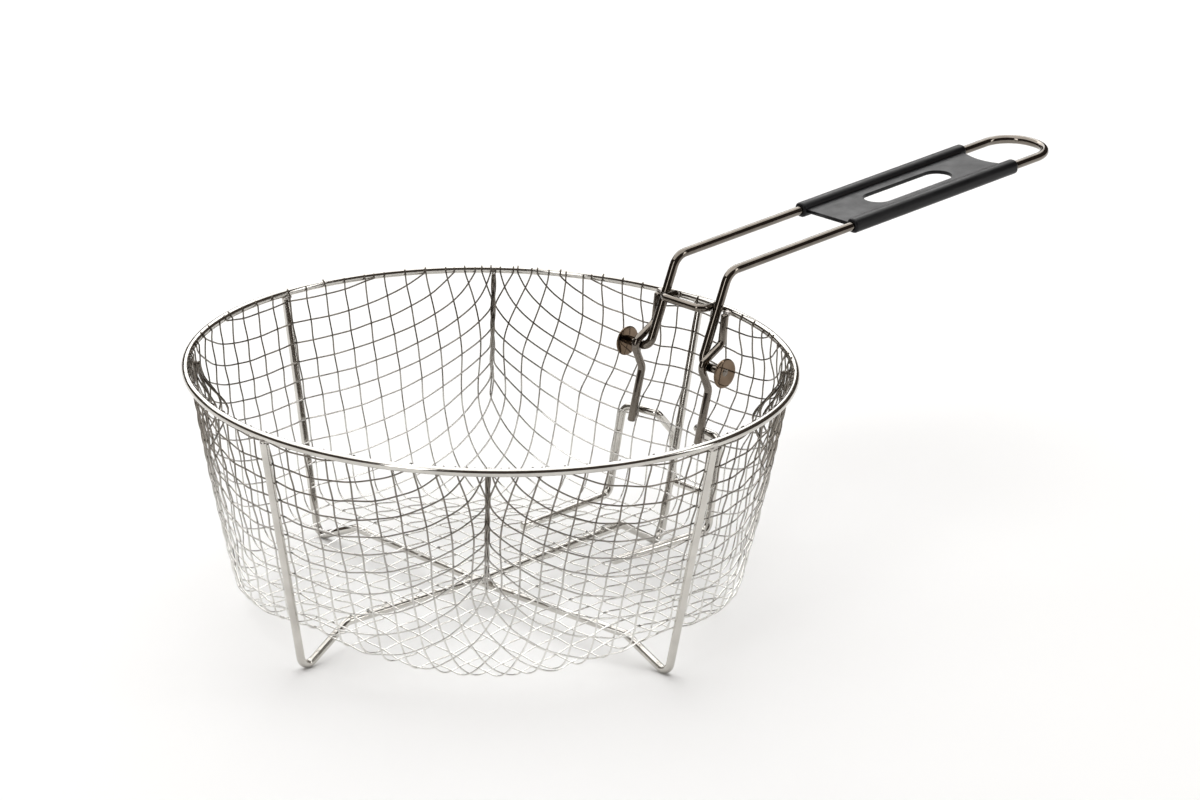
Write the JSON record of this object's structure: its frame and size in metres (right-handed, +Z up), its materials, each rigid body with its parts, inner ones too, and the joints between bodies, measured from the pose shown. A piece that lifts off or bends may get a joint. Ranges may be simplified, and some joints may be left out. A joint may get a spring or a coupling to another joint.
{
  "type": "frying basket",
  "caption": "Round wire-mesh frying basket with a folding, latching handle, a black grip, bent-wire feet and a drain hook.",
  "frame": {"origin": "on the basket's axis, in the plane that its feet stand on", "axes": "+X from the axis to the handle, +Z up, +Y to the left of the handle"},
  "size_m": [0.5537, 0.2966, 0.1557],
  "materials": {
    "plated_wire": "polished",
    "mesh_wire": "gloss",
    "disc_plating": "polished",
    "black_grip": "satin"
  },
  "bodies": {
    "basket": {"mesh_floor": "mesh_wire", "mesh_wall": "mesh_wire", "mesh_wall_handle_side": "mesh_wire", "rim_wire": "plated_wire", "cross_wire_long": "plated_wire", "cross_wire_side": "plated_wire", "pivot_bracket_left": "plated_wire", "pivot_bracket_right": "plated_wire", "latch_loop": "plated_wire", "drain_hook": "plated_wire"},
    "handle": {"handle_wire": "plated_wire", "grip": "black_grip", "pivot_disc_left": "disc_plating", "pivot_disc_right": "disc_plating"}
  },
  "joints": [
    {"name": "handle_fold", "type": "hinge", "parent": "basket", "child": "handle", "pos_m": [0.1292, 0, 0.0974], "axis": [0, -1, 0], "range_deg": [0, 161]}
  ]
}
